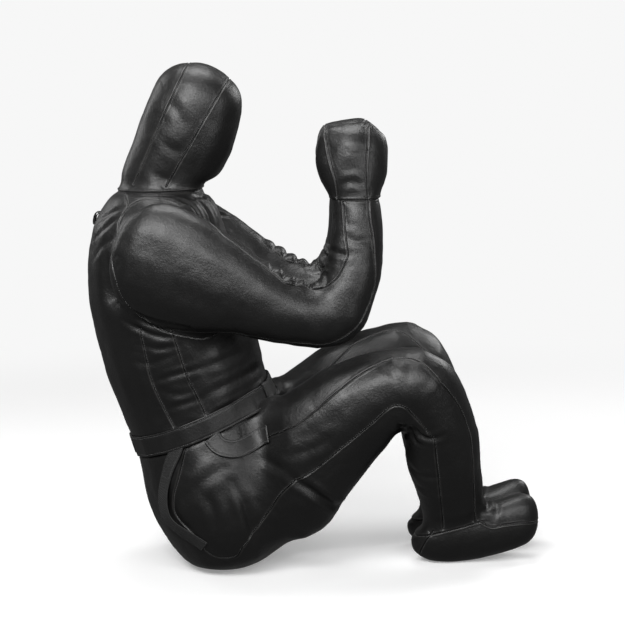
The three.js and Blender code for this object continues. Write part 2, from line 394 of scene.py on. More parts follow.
def bare_skin():
    """One closed surface around all CAD covers, right half built and mirrored."""
    net = bmesh.new()
    for name, node in frame["nodes"].items():
        stuffed = "_cover" in name or "_stuffing" in name
        if stuffed and not name.endswith("_left"):
            net.from_mesh(node.data)
    for name in FILLED_JOINTS:
        joint_filler(net, name, direction(JOINT_WAYS[name]))
    mesh = bpy.data.meshes.new("bare")
    net.to_mesh(mesh)
    net.free()
    mesh = applied(mesh, "REMESH", mode="VOXEL", voxel_size=GRID)
    mesh = grown(mesh, CLOSE)
    mesh = applied(mesh, "REMESH", mode="VOXEL", voxel_size=GRID)
    mesh = grown(mesh, -CLOSE)
    mesh = applied(mesh, "REMESH", mode="VOXEL", voxel_size=GRID)
    mesh = applied(mesh, "SMOOTH", factor=0.5, iterations=SMOOTHING_ROUNDS)
    mesh = grown(mesh, REGROWTH)
    tug(mesh)
    fill(mesh)
    return applied(
        mesh,
        "MIRROR",
        use_axis=(False, True, False),
        use_bisect_axis=(False, True, False),
        use_bisect_flip_axis=(False, True, False),
        merge_threshold=1 * MM,
    )


# ---- Smooth random values ---------------------------------------------------------------

# Large odd numbers that scatter the corners of the noise's cells.
AXIS_HASHES = (73856093, 19349663, 83492791)
CORNER_HASH = 1274126177
SEED_SHIFT = 31.7  # cells between one seed and the next


def noise(points, size, seed):
    """Values from -1 to 1 that change smoothly over `size` metres, one for each point."""
    cell = points / size + SEED_SHIFT * seed
    base = np.floor(cell).astype(np.int64)
    part = cell - base
    part = eased(part)
    total = np.zeros(len(points))
    for corner in itertools.product((0, 1), repeat=points.shape[1]):
        key = ((base + corner) * AXIS_HASHES[: points.shape[1]]).sum(1)
        key = (key ^ (key >> 13)) * CORNER_HASH
        value = ((key >> 7) & 0xFFFF) / 32767.5 - 1
        total += value * np.prod(np.where(corner, part, 1 - part), axis=1)
    return total


# ---- Lines on the skin ------------------------------------------------------------------

STEP = 1.5 * MM  # spacing of the points along a line


def joint(name):
    place = next(j["pos_m"] for j in frame["joints"] if j["name"] == name)
    return np.array(place)


def middle(node):
    low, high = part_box(node)
    return np.array((low + high) / 2)


AXES = {
    "arm": [
        middle("upper_arm_cover_right"),
        joint("elbow_bend_right"),
        joint("wrist_bend_right"),
        middle("fist_cover_right"),
    ],
    "leg": [
        middle("thigh_cover_right"),
        joint("knee_bend_right"),
        joint("ankle_bend_right"),
        middle("foot_cover_right"),
    ],
}


def spline(points, step=STEP):
    """A smooth line through the points, cut into steps of about the same length."""
    p = np.array(points, float)
    padded = np.vstack([2 * p[0] - p[1], p, 2 * p[-1] - p[-2]])
    made = []
    for a, b, c, d in zip(padded, padded[1:], padded[2:], padded[3:]):
        count = max(2, math.ceil(np.linalg.norm(c - b) / step))
        t = (np.arange(count) / count)[:, None]
        bend = 2 * b + (c - a) * t + (2 * a - 5 * b + 4 * c - d) * t**2
        made.append((bend + (3 * b - 3 * c + d - a) * t**3) / 2)
    return np.vstack([*made, p[-1:]])


def lengths_along(line):
    """The length of the line up to each of its points."""
    return np.r_[0, np.cumsum(np.linalg.norm(np.diff(line, axis=0), axis=1))]


def evenly(points, step=STEP):
    """The same line with its points at even steps, and the length up to each point."""
    lengths = lengths_along(points)
    places = np.linspace(0, lengths[-1], max(3, round(lengths[-1] / step) + 1))
    line = np.stack([np.interp(places, lengths, points[:, i]) for i in range(3)], axis=1)
    return line, places


def on_skin(tree, points):
    """Each point moved to the nearest point of the skin, and the skin's normals there."""
    found = [tree.find_nearest(Vector(p))[:2] for p in points]
    return np.array([f[0] for f in found]), np.array([f[1] for f in found])


def across_limb(points, limb):
    """The points mirrored from the limb's outer side to its inner side."""
    axis = spline(AXES[limb])
    moved = points.copy()
    for row in moved:
        near = np.argmin(np.hypot(axis[:, 0] - row[0], axis[:, 2] - row[2]))
        row[1] = 2 * axis[near, 1] - row[1]
    return moved


# Seams of the right side, outer face: x, y, z in millimetres. They were typed from points of
# the photo's seams that a scratch program cast onto an early skin. Of the 116 points, 14 are
# that program's output unchanged, 40 more lie within 3 mm of it, and 62 were moved or placed
# by hand. They don't follow the frame.
ARMHOLE = [
    (-174, -101, 707), (-193, -112, 680), (-203, -140, 645), (-202, -172, 620),
    (-196, -185, 592), (-188, -187, 560), (-172, -182, 530),
]
ARM_TOP = [
    (-174, -101, 707), (-150, -98, 718), (-119, -99, 720), (-85, -103, 714), (-55, -125, 700),
    (-24, -160, 683), (7, -182, 660), (36, -185, 637), (90, -187, 592), (117, -190, 569),
    (148, -176, 560), (180, -178, 558), (206, -182, 573), (224, -181, 603), (229, -177, 622),
    (226, -165, 655), (222, -148, 712),
]
ARM_BOTTOM = [
    (270, -148, 712), (272, -160, 681), (278, -166, 639), (280, -170, 597), (277, -170, 555),
    (264, -176, 517), (239, -185, 483), (210, -186, 464), (177, -184, 455), (141, -188, 459),
    (45, -190, 467), (-43, -176, 478), (-110, -165, 497), (-172, -182, 530),
]
FIST_REAR = [(213, -143, 714), (210, -142, 752), (199, -129, 796), (197, -95, 838)]
FIST_FRONT = [(268, -150, 714), (266, -147, 750), (268, -142, 790), (272, -122, 836), (276, -95, 850)]
TRUNK_REAR = [(-157, -160, 485), (-139, -148, 389), (-114, -145, 324), (-90, -150, 275)]
TRUNK_FRONT = [(-97, -168, 490), (-71, -156, 395), (-56, -152, 360), (-30, -152, 300)]
YOKE = [(-181, -66, 727), (-176, -85, 716), (-174, -101, 707)]
SEAT_REAR = [
    (-76, -152, 272), (-95, -152, 200), (-107, -148, 165), (-108, -146, 135), (-92, -150, 115),
    (-70, -158, 96), (-48, -155, 62), (-15, -153, 44), (10, -155, 47), (22, -160, 66),
]
SEAT_FRONT = [
    (22, -160, 66), (44, -158, 93), (71, -150, 132), (94, -150, 161), (122, -180, 197),
    (161, -188, 220), (209, -192, 260), (240, -196, 284), (272, -200, 312), (295, -204, 334),
    (312, -206, 342), (330, -206, 336), (350, -196, 312), (372, -186, 284), (383, -180, 268),
    (387, -166, 225), (393, -148, 175), (400, -118, 118), (403, -100, 76),
]
LEG_UPPER = [
    (92, -110, 262), (125, -165, 294), (156, -182, 324), (197, -184, 359), (238, -179, 390),
    (274, -176, 410), (298, -172, 421), (321, -172, 424), (341, -178, 424), (362, -187, 415),
    (381, -193, 398), (399, -192, 376), (419, -181, 350), (436, -168, 320), (452, -156, 275),
    (457, -145, 223), (462, -117, 148), (466, -96, 88),
]
FOOT_TOP = [
    (474, -94, 88), (497, -96, 77), (520, -96, 80), (548, -92, 82), (572, -80, 80),
    (583, -62, 79), (586, -52, 78),
]
HEEL = [(384, -94, 71), (368, -88, 45), (356, -78, 18), (352, -66, 4)]


def ring(tree, centre, normal, turns=(0, 360)):
    """Points where rays from centre, fanned round the normal, leave the skin."""
    n = Vector(normal).normalized()
    side = Vector((0, -1, 0))
    front = side.cross(n).normalized()
    made = []
    for degrees in np.arange(turns[0], turns[1] + 1, 3):
        a = math.radians(degrees)
        way = side * math.cos(a) + front * math.sin(a)
        hit = tree.ray_cast(Vector(centre), way)[0]
        if hit is not None:
            made.append(hit)
    return np.array(made)


def over_the_top(points):
    """A line that ends on the fist's middle plane, carried on down the other side."""
    middle_y = points[-1][1]
    back = [(x, 2 * middle_y - y, z) for x, y, z in reversed(points[:-1])]
    return [*points, *back]


# The armhole's front half, which can't be seen from the side, placed one by one.
ARMHOLE_FRONT = [
    (-55, -125, 700), (-22, -112, 672), (-2, -110, 630), (8, -110, 580), (8, -112, 530),
    (-12, -122, 485), (-60, -146, 476), (-120, -160, 492), (-172, -182, 530),
]

# Folds and dents of the right side: depth, width, then x, y, z, all in millimetres. They
# were first typed from the same cast points as the seams, and then reworked.
FOLDS = [
    # chest, beside the neck and along the shoulder's front edge
    (3.5, 4, [(-84, -86, 716), (-52, -88, 706), (-20, -110, 684), (6, -150, 662)]),
    (3.0, 4, [(-66, -66, 716), (-36, -62, 704), (-8, -72, 676), (14, -98, 645)]),
    (2.5, 5, [(-44, -30, 716), (-22, -40, 698), (4, -48, 664), (22, -66, 630)]),
    # neck, in front
    (2.0, 4, [(-60, -60, 716), (-46, -30, 712), (-44, 0, 712)]),
    # behind the shoulder
    (2.0, 5, [(-236, -45, 668), (-214, -78, 690), (-186, -98, 704)]),
    (1.8, 5, [(-240, -60, 640), (-222, -90, 664), (-196, -104, 688)]),
    (1.5, 6, [(-243, -75, 605), (-228, -100, 632), (-205, -118, 655)]),
    # underarm
    (4.0, 5, [(-176, -176, 528), (-148, -178, 514), (-104, -180, 508), (-58, -182, 502)]),
    (3.5, 5, [(-172, -172, 516), (-146, -164, 500), (-112, -164, 488), (-76, -166, 484)]),
    (3.0, 5, [(-190, -150, 500), (-160, -158, 486), (-120, -162, 474), (-85, -164, 470)]),
    # side panel
    (2.0, 5, [(-158, -150, 455), (-118, -160, 449), (-88, -160, 454)]),
    (1.3, 6, [(-176, -130, 424), (-138, -150, 420), (-96, -158, 436)]),
    (1.9, 5, [(-136, -147, 384), (-98, -155, 397), (-40, -150, 410)]),
    (1.5, 6, [(-120, -146, 368), (-92, -152, 361), (-62, -152, 364)]),
    (1.6, 5, [(-108, -145, 333), (-84, -150, 341), (-48, -150, 352)]),
    # belly above the belt
    (1.9, 7, [(-44, -150, 352), (-28, -142, 362), (18, -112, 379), (52, -62, 388), (60, 0, 391)]),
    (1.8, 7, [(-40, -150, 410), (0, -130, 420), (36, -96, 432)]),
    # seat
    (2.3, 10, [(-6, -168, 217), (2, -176, 162), (4, -172, 103), (4, -163, 66)]),
    (3.4, 8, [(8, -165, 196), (30, -168, 144), (42, -158, 98), (46, -152, 66)]),
    (1.8, 8, [(-34, -164, 176), (-26, -166, 122), (-20, -154, 84)]),
    (1.8, 10, [(-92, -156, 156), (-44, -170, 202), (-12, -168, 222)]),
    (1.6, 9, [(-60, -165, 190), (-30, -174, 150), (-20, -172, 110)]),
    # thigh
    (6.5, 7, [(118, -183, 206), (156, -178, 178), (196, -150, 140), (214, -110, 126)]),
    (2.0, 9, [(64, -140, 234), (104, -176, 219), (130, -184, 215)]),
    (1.8, 8, [(120, -176, 250), (160, -188, 262), (196, -194, 286)]),
    # knee, from the seam down the side
    (1.3, 7, [(290, -172, 418), (303, -190, 402), (318, -202, 384)]),
    (1.0, 8, [(342, -178, 424), (338, -192, 404), (332, -205, 380)]),
    (1.0, 7, [(380, -192, 398), (372, -200, 384), (362, -207, 366)]),
    # behind the knee
    (4.5, 5, [(308, -190, 318), (330, -184, 286), (350, -180, 276), (378, -180, 274), (398, -182, 282)]),
    (3.5, 5, [(316, -170, 300), (328, -150, 278), (334, -130, 272), (334, -100, 276)]),
    (3.5, 5, [(318, -172, 284), (344, -164, 262), (366, -174, 260)]),
    (2.4, 6, [(338, -124, 206), (358, -142, 193), (388, -154, 190)]),
    (1.8, 6, [(344, -118, 170), (362, -130, 160), (392, -136, 158)]),
    # foot
    (3.5, 4, [(478, -92, 106), (488, -84, 110), (493, -52, 116), (488, -20, 110), (478, -12, 106)]),
    (2.0, 5, [(500, -92, 84), (508, -84, 104), (510, -70, 112)]),
    # forearm
    (2.2, 5, [(202, -148, 624), (212, -164, 619), (232, -174, 615)]),
    (1.6, 6, [(226, -172, 650), (246, -172, 640), (268, -166, 642)]),
    # fist
    (1.6, 6, [(222, -142, 742), (240, -150, 748), (262, -146, 742)]),
    # head
    (1.6, 9, [(-96, -66, 897), (-76, -78, 878), (-68, -82, 854)]),
    (1.8, 9, [(-106, -76, 824), (-90, -81, 809), (-72, -81, 804)]),
    (1.6, 9, [(-128, -72, 769), (-110, -76, 757), (-90, -77, 752)]),
]

# The gusset inside the elbow is gathered into stuffed blocks. The span is along the arm's
# top seam.
BLOCK_SPAN = (306 * MM, 502 * MM)
BLOCK_PITCH = 28 * MM
BLOCK_HEIGHT = 9.5 * MM
BLOCK_ROUNDNESS = 0.75  # the smaller, the flatter the blocks' tops
BLOCK_BASE = 0.3  # how deep the creases between the blocks lie, as a share of the height

# Where the leather is gathered most: x, y, z and radius in millimetres, and how much.
GATHERS = [
    ((190, -165, 560), 70, 1.6),
    ((-165, -175, 545), 70, 1.6),
    ((350, -190, 300), 60, 1.5),
    ((20, -155, 60), 60, 1.4),
]


class Seam:
    """Even points along a sewn line on the skin, and how the leather behaves beside it.

    pucker is the height of the small folds that leave the seam; step is how far the side
    that `over` points to stands proud of the other side."""

    def __init__(self, tree, points, pucker=1.1, step=0.0, over=(0, 0, 1)):
        snapped, _ = on_skin(tree, points)
        self.points, self.places = evenly(snapped)
        self.pucker = pucker * MM
        self.step = step * MM
        self.over = over

    def mirrored(self):
        """The same seam on the other side."""
        twin = object.__new__(Seam)
        twin.__dict__.update(self.__dict__)
        twin.points = self.points * MIRROR
        return twin


def beyond(points, x):
    """The part of a list of points from a given x on, in the list's order."""
    return [p for p in points if p[0] >= x]


# The planes of the head gusset's two seams: a place in metres and the way across the plane.
HEAD_REAR_SEAM = ((-0.116, 0, 0.848), (0.901, 0, -0.433))
HEAD_FRONT_SEAM = ((-0.048, 0, 0.830), (0.851, 0, -0.526))
OPEN_TURN = (-90, 270)  # a full turn that starts a quarter turn before the outer side
HEM_FRONT = 0.482  # the trouser hem is read up to this x, in front of which the toe box lies


def sewn_lines(tree):
    """Every seam of the dummy, both sides."""

    def line(points, **traits):
        return Seam(tree, spline(np.array(points) * MM), **traits)

    def inner(points, limb, **traits):
        return Seam(tree, across_limb(spline(np.array(points) * MM), limb), **traits)

    def loop(centre, normal, turns=(0, 360), above=-1.0, behind=1.0, **traits):
        fan = ring(tree, centre, normal, turns)
        return Seam(tree, fan[(fan[:, 2] > above) & (fan[:, 0] < behind)], **traits)

    neck, wrist, ankle = joint("neck_nod"), joint("wrist_bend_right"), joint("ankle_bend_right")
    neck_seam = neck[2] + 3 * MM
    right = [
        line(ARMHOLE, pucker=1.4),
        line(ARMHOLE_FRONT, pucker=1.6),
        line(ARM_TOP, pucker=0.8),
        line(ARM_BOTTOM, pucker=1.0),
        inner(beyond(ARM_TOP, 60), "arm", pucker=1.0),
        inner(beyond(ARM_BOTTOM, 60), "arm", pucker=1.0),
        line(over_the_top(FIST_REAR), pucker=0.8),
        line(over_the_top(FIST_FRONT), pucker=0.8),
        loop(wrist + (0, 0, 2 * MM), (0, 0, 1), pucker=0.5, step=2.0),
        line(TRUNK_REAR, pucker=0.9),
        line(TRUNK_FRONT, pucker=0.9),
        line(YOKE, pucker=0.5),
        line(SEAT_REAR, pucker=0.7),
        line(SEAT_FRONT, pucker=1.0),
        line(LEG_UPPER, pucker=1.1),
        inner(beyond(LEG_UPPER, 190), "leg", pucker=1.1),
        inner(beyond(SEAT_FRONT, 190), "leg", pucker=1.0),
        line(FOOT_TOP, pucker=0.7),
        inner(FOOT_TOP, "leg", pucker=0.7),
        line(HEEL, pucker=0.4),
        inner(HEEL, "leg", pucker=0.4),
        loop(ankle + (4 * MM, 0, -20 * MM), (-0.25, 0, 0.97), OPEN_TURN, behind=HEM_FRONT,
             pucker=0.6, step=1.6),
    ]
    middle_lines = [
        loop(*HEAD_REAR_SEAM, OPEN_TURN, neck_seam, pucker=0.7),
        loop(*HEAD_FRONT_SEAM, OPEN_TURN, neck_seam, pucker=0.7),
        loop((neck[0], 0, neck_seam), (0, 0, 1), pucker=0.6, step=3.0),
    ]
    return middle_lines + right + [seam.mirrored() for seam in right]


# ---- Relief: what the sewing and the stuffing do to the skin ------------------------------

GROOVE_DEPTH = 2.2 * MM
GROOVE_WIDTH = 1.1 * MM
LIP_HEIGHT = 0.6 * MM
LIP_PLACE = 3.0 * MM
LIP_WIDTH = 1.3 * MM
PULL = 2.2 * MM  # how far a seam draws the skin in
PULL_REACH = 20 * MM
PUCKER_REACH = 15 * MM
PUCKER_SIZE = 11 * MM
STEP_REACH = 9 * MM
FULLNESS = 1.2 * MM  # the panels swell by this, so that the seams' pull doesn't thin them


def nearest(tree, points):
    """For each point, the index of the nearest point of the tree and the distance."""
    found = [tree.find(p)[1:] for p in points]
    return np.array([f[0] for f in found]), np.array([f[1] for f in found])


def tree_of(points):
    tree = KDTree(len(points))
    for i, p in enumerate(points):
        tree.insert(p, i)
    tree.balance()
    return tree


def gathering(points):
    """How much more than usual the leather is puckered at each point."""
    total = np.ones(len(points))
    for centre, radius, factor in GATHERS:
        for side in (1, -1):
            place = np.array(centre) * (MM, side * MM, MM)
            distance = np.linalg.norm(points - place, axis=1)
            total += (factor - 1) * bell(distance, radius * MM)
    return total


def seam_relief(points, seams):
    """Heights from the seams, and the distance to the nearest one."""
    owner = np.concatenate([np.full(len(s.points), i) for i, s in enumerate(seams)])
    along = np.concatenate([s.places for s in seams])
    samples = np.vstack([s.points for s in seams])
    index, distance = nearest(tree_of(samples), points)
    owner = owner[index]
    pucker = np.array([s.pucker for s in seams])[owner] * gathering(points)
    step = np.array([s.step for s in seams])[owner]
    over = np.array([s.over for s in seams])[owner]
    side = np.einsum("ij,ij->i", points - samples[index], over)
    height = FULLNESS - PULL * np.exp(-distance / PULL_REACH)
    height -= GROOVE_DEPTH * bell(distance, GROOVE_WIDTH)
    height += LIP_HEIGHT * bell(distance - LIP_PLACE, LIP_WIDTH)
    wave = np.stack([along[index], 0.37 * owner], axis=1)
    folds = noise(wave, PUCKER_SIZE, 1) + 0.5 * noise(wave, PUCKER_SIZE / 2, 2)
    near = np.exp(-distance / PUCKER_REACH) * (1 - bell(distance, GROOVE_WIDTH))
    where = np.clip(0.45 + 0.9 * noise(points, 55 * MM, 3), 0.1, 1.2)
    height += 0.6 * pucker * folds * near * where
    height += step * np.tanh(side / GROOVE_WIDTH) * np.exp(-distance / STEP_REACH)
    return height, distance


def elbow_blocks(points, tree):
    """Heights of the stuffed blocks inside both elbows."""
    outer = spline(np.array(ARM_TOP) * MM)
    lengths = lengths_along(outer)
    inside = (lengths > BLOCK_SPAN[0]) & (lengths < BLOCK_SPAN[1])
    outer, lengths = outer[inside], lengths[inside] - BLOCK_SPAN[0]
    inner = across_limb(outer, "arm")
    half = np.linalg.norm(outer - inner, axis=1) / 2
    line, _ = on_skin(tree, (outer + inner) / 2)
    right = points.copy()
    right[:, 1] = -np.abs(right[:, 1])
    index, distance = nearest(tree_of(line), right)
    block = np.abs(np.sin(math.pi * lengths[index] / BLOCK_PITCH)) ** BLOCK_ROUNDNESS - BLOCK_BASE
    across = np.clip(1 - (distance / half[index]) ** 6, 0, 1)
    along = np.sin(math.pi * index / (len(line) - 1)) ** 0.5
    return BLOCK_HEIGHT * block * across * along


def fold_relief(points, tree):
    """Heights from the folds: a crease, with the leather swollen on both sides of it."""
    height = np.zeros(len(points))
    for depth, width, places in FOLDS:
        line, _ = on_skin(tree, spline(np.array(places) * MM))
        width *= MM
        reach = 4 * width
        for side in (1, -1):
            path = line * (1, side, 1)
            low, high = path.min(0) - reach, path.max(0) + reach
            inside = np.nonzero(((points > low) & (points < high)).all(axis=1))[0]
            index, distance = nearest(tree_of(path), points[inside])
            share = index / (len(path) - 1)
            fade = np.sqrt(np.sin(np.pi * np.clip(share, 0.02, 0.98)))
            crease = 0.45 * bell(distance - 2 * width, width)
            crease -= np.exp(-np.abs(distance / width) ** 1.4)
            height[inside] += depth * MM * fade * crease
    return height


LUMPS = ((1.9, 62, 11), (0.9, 30, 12), (0.25, 13, 13))  # height and size in mm, and seed


def lumps(points):
    """Unevenness of the filling, and the fine creases of soft leather over it."""
    height = sum(high * MM * noise(points, size * MM, seed) for high, size, seed in LUMPS)
    vein = np.exp(-((noise(points, 34 * MM, 14) / 0.09) ** 2))
    where = np.clip(noise(points, 75 * MM, 15), 0, 1)
    return height - 1.0 * MM * vein * where


# ---- Materials --------------------------------------------------------------------------


class Shader:
    """A material's node tree, with short ways to add nodes and join them."""

    def __init__(self, name):
        self.material = bpy.data.materials.new(name)
        self.material.use_nodes = True
        self.tree = self.material.node_tree
        self.surface = self.tree.nodes["Principled BSDF"]

    def feed(self, socket, value):
        if isinstance(value, bpy.types.NodeSocket):
            self.tree.links.new(value, socket)
        else:
            socket.default_value = value

    def add(self, kind, inputs, **settings):
        made = self.tree.nodes.new("ShaderNode" + kind)
        for name, value in settings.items():
            setattr(made, name, value)
        for name, value in inputs.items():
            self.feed(made.inputs[name], value)
        return made.outputs[0]

    def cover(self, inputs):
        """Sets the surface's inputs, each from a number, a colour or a node's output."""
        for name, value in inputs.items():
            self.feed(self.surface.inputs[name], value)

    def mix_number(self, share, low, high):
        inputs = {"Value": share, "To Min": low, "To Max": high}
        return self.add("MapRange", inputs)

    def math(self, operation, first, second):
        return self.add("Math", {0: first, 1: second}, operation=operation)

    def mix_colour(self, share, first, second):
        made = self.tree.nodes.new("ShaderNodeMix")
        made.data_type = "RGBA"
        self.feed(made.inputs["Factor"], share)
        self.feed(made.inputs["A"], first)
        self.feed(made.inputs["B"], second)
        return made.outputs["Result"]

    def bump(self, height, distance, strength=1.0, normal=None):
        inputs = {"Height": height, "Distance": distance, "Strength": strength}
        if normal is not None:
            inputs["Normal"] = normal
        return self.add("Bump", inputs)


def grey(value, warmth=0.0):
    return (value * (1 + warmth), value, value * (1 - warmth), 1)


def leather(name, shade, gloss, grain=1.1 * MM):
    """Soft black cowhide: pebbled grain, mottled gloss, dark seams whose lips are painted lighter,
    partly worn edges and partly a painted highlight on the lips' ridge.
    """
    s = Shader(name)
    place = s.tree.nodes.new("ShaderNodeTexCoord").outputs["Object"]
    broad = s.add("TexNoise", {"Vector": place, "Scale": 9.0, "Detail": 2.0})
    blotch = s.add("TexNoise", {"Vector": place, "Scale": 55.0, "Detail": 5.0, "Roughness": 0.6})
    pebble = s.add("TexVoronoi", {"Vector": place, "Scale": 1 / grain}, feature="SMOOTH_F1")
    pore = s.add("TexNoise", {"Vector": place, "Scale": 0.6 / grain, "Detail": 3.0})
    crepe = s.add("TexNoise", {"Vector": place, "Scale": 210.0, "Detail": 4.0, "Roughness": 0.55})
    # The seams' lips are painted lighter from this attribute: partly worn edges, partly a painted
    # highlight where the lips' ridge catches the light.
    seam = s.add("Attribute", {}, attribute_name="rubbed")
    colour = s.mix_colour(broad, grey(shade * 0.75), grey(shade * 1.35, 0.02))
    colour = s.mix_colour(seam, colour, grey(shade * 4.5, 0.03))
    normal = s.bump(crepe, 0.9 * MM, 0.65)
    normal = s.bump(pore, 0.3 * MM, 0.5, normal)
    normal = s.bump(pebble, 0.25 * MM, 0.7, normal)
    s.cover({
        "Base Color": colour,
        "Roughness": s.mix_number(blotch, gloss - 0.11, gloss + 0.13),
        "Specular IOR Level": 0.5,
        "Coat Weight": 0.14,
        "Coat Roughness": 0.36,
        "Normal": normal,
    })
    return s.material


def webbing(name, shade, rib=3.2 * MM):
    """Flat nylon webbing: diagonal ribs across its UV map, which is in metres."""
    s = Shader(name)
    uv = s.tree.nodes.new("ShaderNodeUVMap").outputs["UV"]
    split = s.tree.nodes.new("ShaderNodeSeparateXYZ")
    s.feed(split.inputs[0], uv)
    along, across = split.outputs[0], split.outputs[1]
    turn = 2 * math.pi / rib
    warp = s.math("SINE", s.math("MULTIPLY", across, turn), 0.0)
    slant = s.math("ADD", along, s.math("MULTIPLY", across, 0.6))
    weft = s.math("SINE", s.math("MULTIPLY", slant, turn), 0.0)
    weave = s.math("ADD", s.math("MULTIPLY", warp, 0.5), s.math("MULTIPLY", weft, 0.5))
    fuzz = s.add("TexNoise", {"Vector": uv, "Scale": 900.0, "Detail": 3.0})
    level = s.math("ADD", s.mix_number(weave, 0.35, 0.75), s.math("MULTIPLY", fuzz, 0.25))
    s.cover({
        "Base Color": s.mix_colour(level, grey(shade * 0.2), grey(shade * 3)),
        "Roughness": s.mix_number(fuzz, 0.5, 0.75),
        "Sheen Weight": 0.04,
        "Sheen Roughness": 0.4,
        "Normal": s.bump(level, 1.6 * MM, 1.0),
    })
    return s.material


def thread(name, shade):
    """Twisted nylon thread."""
    s = Shader(name)
    place = s.tree.nodes.new("ShaderNodeTexCoord").outputs["Object"]
    twist = s.add("TexNoise", {"Vector": place, "Scale": 1500.0, "Detail": 2.0})
    s.cover({
        "Base Color": s.mix_colour(twist, grey(shade * 0.6), grey(shade * 1.4)),
        "Roughness": s.mix_number(twist, 0.4, 0.6),
        "Normal": s.bump(twist, 0.2 * MM, 0.6),
    })
    return s.material


# ---- Straps -----------------------------------------------------------------------------

SECTION_POINTS = 25  # across one face of a strap
STRAP_INSET = 4 * MM  # from a strap's edge to the stitches along it
STRAP_PITCH = 4.4 * MM
SUNK = 0.35 * MM  # how deep a strap's stitches sit in it


def strap_section(width, thickness, stitch_inset):
    """The outline of a strap's cut end: offsets across it, and heights above the skin."""
    half = width / 2
    share = np.sin(np.linspace(-1, 1, SECTION_POINTS) * math.pi / 2)
    across = half * share
    edge = np.sqrt(np.clip(1 - np.abs(share) ** 14, 0, 1))
    dent = 0.9 * MM * bell(np.abs(across) - half + stitch_inset, 0.9 * MM)
    top = thickness * (0.5 + 0.5 * edge) - dent * (stitch_inset > 0)
    bottom = thickness * (0.5 - 0.5 * edge)
    outline_x = np.r_[across, across[-2:0:-1]]
    outline_z = np.r_[top, bottom[-2:0:-1]]
    return outline_x, outline_z


class Strap:
    """A flat band laid on the skin along a line. lift(share, across) raises parts of it."""

    def __init__(self, name, tree, line, sides, width, thickness, **traits):
        self.name, self.tree, self.line, self.sides = name, tree, line, sides
        self.width, self.thickness = width, thickness
        self.closed = traits.get("closed", False)
        self.gap = traits.get("gap", 1.0 * MM)
        self.lift = traits.get("lift", lambda share, across: 0 * across)
        self.inset = traits.get("inset", 0.0)
        self.places = lengths_along(line)

    def place(self, index, across, height):
        """Points on the strap at one station, for offsets across it and heights."""
        share = self.places[index] / self.places[-1]
        flat = self.line[index] + np.outer(across, self.sides[index])
        skin, normals = on_skin(self.tree, flat)
        rise = self.gap + height + self.lift(share, across / self.width)
        return skin + normals * rise[:, None], normals

    def mesh(self):
        across, height = strap_section(self.width, self.thickness, self.inset)
        rows = len(self.line)
        count = len(across)
        points = np.vstack([self.place(i, across, height)[0] for i in range(rows)])
        faces, uvs = [], []
        last = rows if self.closed else rows - 1
        for i in range(last):
            j = (i + 1) % rows
            far = self.places[i + 1] if i + 1 < rows else self.places[-1] + self.places[1]
            for a in range(count):
                b = (a + 1) % count
                faces.append((i * count + a, i * count + b, j * count + b, j * count + a))
                u0, u1, v0, v1 = self.places[i], far, across[a], across[b]
                uvs += [(u0, v0), (u0, v1), (u1, v1), (u1, v0)]
        if not self.closed:
            for row, order in ((0, range(count - 1, -1, -1)), (rows - 1, range(count))):
                faces.append(tuple(row * count + a for a in order))
                uvs += [(self.places[row], across[a]) for a in order]
        mesh = bpy.data.meshes.new(self.name)
        mesh.from_pydata(points, [], faces)
        layer = mesh.uv_layers.new(name="UVMap")
        layer.data.foreach_set("uv", np.array(uvs).ravel())
        mesh.polygons.foreach_set("use_smooth", [True] * len(faces))
        mesh.validate()
        return mesh

    def bar(self, share):
        """Places, directions and normals for a row of stitches across the strap."""
        index = int(np.searchsorted(self.places, share * self.places[-1]))
        index = min(index, len(self.line) - 1)
        reach = self.width / 2 - STRAP_INSET
        across = np.arange(-reach, reach + 0.1 * MM, STRAP_PITCH)
        points, normals = self.place(index, across, np.full(len(across), self.thickness))
        ways = np.tile(self.sides[index], (len(across), 1))
        return list(zip(points - SUNK * normals, ways, normals))

    def stitches(self, across, start=0.0, end=1.0):
        """Places, directions and normals for a row of stitches along the strap."""
        whole = self.places[-1]
        wanted = np.arange(start * whole + STRAP_PITCH / 2, end * whole, STRAP_PITCH)
        made = []
        for length in wanted:
            index = min(int(np.searchsorted(self.places, length)), len(self.line) - 1)
            points, normals = self.place(index, np.array([across]), np.array([self.thickness]))
            before, after = max(index - 1, 0), min(index + 1, len(self.line) - 1)
            way = self.line[after] - self.line[before]
            slide = (length - self.places[index]) * way / np.linalg.norm(way)
            made.append((points[0] + slide - SUNK * normals[0], way, normals[0]))
        return made


def stitch_mesh(name, stitches, length=3.2 * MM, radius=0.5 * MM):
    """One mesh of short rounded stitches, each given as its place, direction and normal."""
    sides = 6
    stations = ((-0.5, 0.0), (-0.42, 0.7), (-0.15, 1.0), (0.15, 1.0), (0.42, 0.7), (0.5, 0.0))
    template = []
    for x, share in stations:
        for k in range(sides if share else 1):
            a = 2 * math.pi * k / sides
            template.append((x * length, share * radius * math.cos(a), share * radius * math.sin(a)))
    rings = [range(1 + sides * i, 1 + sides * (i + 1)) for i in range(4)]
    tip = len(template) - 1
    faces = []
    for k in range(sides):
        m = (k + 1) % sides
        faces.append((0, rings[0][m], rings[0][k]))
        faces.append((tip, rings[3][k], rings[3][m]))
        for low, high in zip(rings, rings[1:]):
            faces.append((low[k], low[m], high[m], high[k]))
    points, all_faces = [], []
    template = np.array(template)
    for place, way, normal in stitches:
        along = way / np.linalg.norm(way)
        side = np.cross(normal, along)
        side /= np.linalg.norm(side)
        up = np.cross(along, side)
        start = len(points) * len(template)
        points.append(place + template @ np.array([along, side, up]))
        all_faces += [tuple(start + v for v in face) for face in faces]
    mesh = bpy.data.meshes.new(name)
    mesh.from_pydata(np.vstack(points), [], all_faces)
    mesh.polygons.foreach_set("use_smooth", [True] * len(all_faces))
    return mesh


def piece(name, mesh, material):
    """A shown object with its material."""
    mesh.materials.clear()
    mesh.materials.append(material)
    made = placed(name, mesh)
    return made
